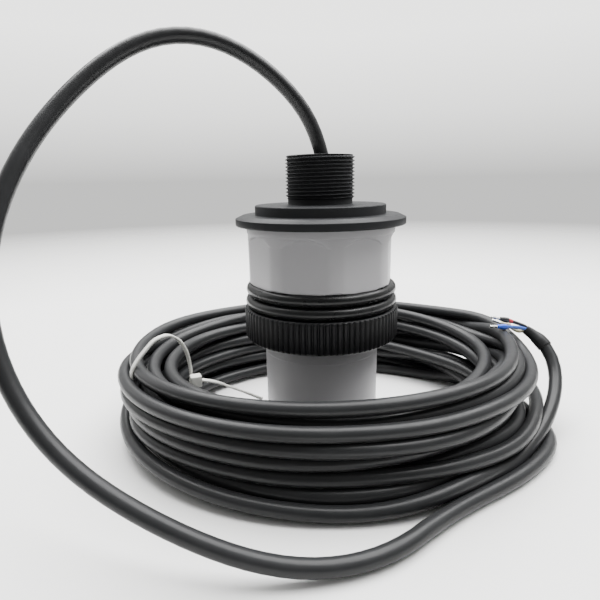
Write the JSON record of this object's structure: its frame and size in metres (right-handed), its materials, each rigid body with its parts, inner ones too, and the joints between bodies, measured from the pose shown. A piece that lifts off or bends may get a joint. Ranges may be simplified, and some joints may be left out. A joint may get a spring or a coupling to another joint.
{
  "type": "ultrasonic distance sensor",
  "caption": "Tubular ultrasonic distance sensor with a conduit thread, a fluted lock nut on a threaded shank, seal rings and a long coiled cable ending in ferrules.",
  "frame": {"origin": "middle of the sensing face, where the sensor's nose stands on the floor", "axes": "+Z along the sensor towards the cable; -Y is the side with the free lead, +X the side with the cable's end"},
  "size_m": [0.223, 0.1939, 0.173],
  "materials": {
    "cap_black": "satin black, fine turned lines",
    "nut_black": "satin black moulding",
    "seal_rubber": "smooth black rubber",
    "grommet_rubber": "dull black rubber",
    "clamp_brass": "turned",
    "cable_jacket": "satin black jacket",
    "housing_white": "satin white, machined",
    "nose_white": "satin white, machined",
    "matching_epoxy": "cast",
    "piezo_ceramic": "fired ceramic",
    "sleeve_cork": "cork rubber",
    "backing_resin": "filled resin",
    "potting_resin": "cast resin",
    "lead_red": "insulated wire",
    "probe_resin": "dipped bead",
    "frame_plastic": "moulded",
    "board_green": "solder mask",
    "chip_black": "moulded",
    "ferrite": "fired ferrite",
    "copper": "enamelled wire",
    "capacitor_can": "sleeved can",
    "terminal_green": "moulded",
    "wire_black": "insulation",
    "wire_blue": "insulation",
    "wire_yellow": "insulation",
    "mark_red": "marker sleeve",
    "sleeve_black": "shrunk sleeve",
    "ferrule_black": "moulded collar",
    "ferrule_blue": "moulded collar",
    "ferrule_yellow": "moulded collar",
    "tinned_copper": "tinned",
    "tie_nylon": "natural nylon"
  },
  "bodies": {
    "sensor": {"top_cap": "cap_black", "cap_seal": "seal_rubber", "cable_grommet": "grommet_rubber", "clamp_ring": "clamp_brass", "cable_entry": "cable_jacket", "housing": "housing_white", "nose_tube": "nose_white", "matching_layer": "matching_epoxy", "piezo_disc": "piezo_ceramic", "decoupling_sleeve": "sleeve_cork", "backing_block": "backing_resin", "potting_disc": "potting_resin", "piezo_leads": "lead_red", "temperature_probe": "probe_resin", "board_frame": "frame_plastic", "circuit_board": "board_green", "processor_chip": "chip_black", "driver_chips": "chip_black", "transformer_core": "ferrite", "transformer_winding": "copper", "capacitors": "capacitor_can", "terminal_block": "terminal_green", "core_black": "wire_black", "core_blue": "wire_blue", "core_yellow": "wire_yellow", "cable_lead": "cable_jacket", "cable_coil": "cable_jacket", "cable_tail": "cable_jacket", "heat_shrink": "sleeve_black", "wire_black": "wire_black", "wire_mark": "mark_red", "wire_blue": "wire_blue", "wire_yellow": "wire_yellow", "ferrule_black": "ferrule_black", "ferrule_blue": "ferrule_blue", "ferrule_yellow": "ferrule_yellow", "ferrule_pins": "tinned_copper", "cable_tie": "tie_nylon"},
    "seal_rings": {"seal_ring_upper": "seal_rubber", "seal_ring_lower": "seal_rubber"},
    "lock_nut": {"lock_nut": "nut_black"}
  },
  "joints": [
    {"name": "ring_slide", "type": "slide", "parent": "sensor", "child": "seal_rings", "axis": [0, 0, -1], "range_m": [0, 0.008]},
    {"name": "nut_spin", "type": "hinge", "parent": "seal_rings", "child": "lock_nut", "pos_m": [0, 0, 0.053], "axis": [0, 0, -1], "range_deg": [0, 1440]}
  ],
  "couplings": [
    {"joint": "nut_spin", "follows": "ring_slide", "rad_per_m": 3141.6}
  ]
}
